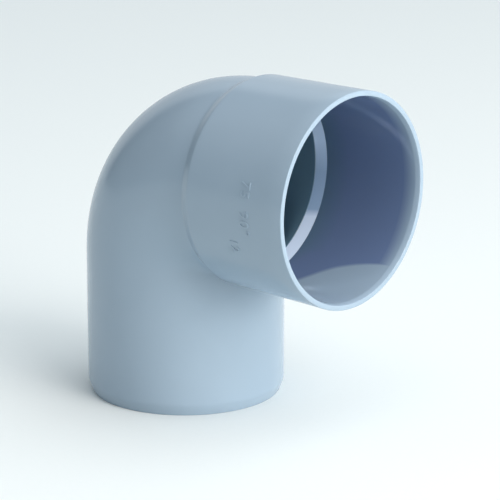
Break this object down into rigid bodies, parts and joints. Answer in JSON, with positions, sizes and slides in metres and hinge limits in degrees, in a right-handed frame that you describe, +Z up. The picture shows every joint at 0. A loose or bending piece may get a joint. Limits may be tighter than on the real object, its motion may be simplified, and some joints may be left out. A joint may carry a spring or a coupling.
{
  "type": "pvc elbow fitting",
  "caption": "Right-angle bend for solvent-weld plastic pipe: a plain chamfered spigot at the foot, a tight bend and a flared socket with a conical stop inside.",
  "frame": {"origin": "centre of the footprint's bounding box, on the surface that the spigot stands on; the spigot's axis is at x = -0.0225 m", "axes": "+Z up the spigot's axis, away from its end; +X along the socket's axis, out of its mouth; y = 0 is the plane of symmetry"},
  "size_m": [0.12, 0.0804, 0.128],
  "materials": {
    "moulded_pvc": "satin"
  },
  "bodies": {
    "root": {"spigot_end": "moulded_pvc", "spigot_leg": "moulded_pvc", "bend_lower": "moulded_pvc", "bend_middle": "moulded_pvc", "bend_upper": "moulded_pvc", "pipe_stop": "moulded_pvc", "socket_collar": "moulded_pvc", "mouth_rim": "moulded_pvc"}
  },
  "joints": []
}
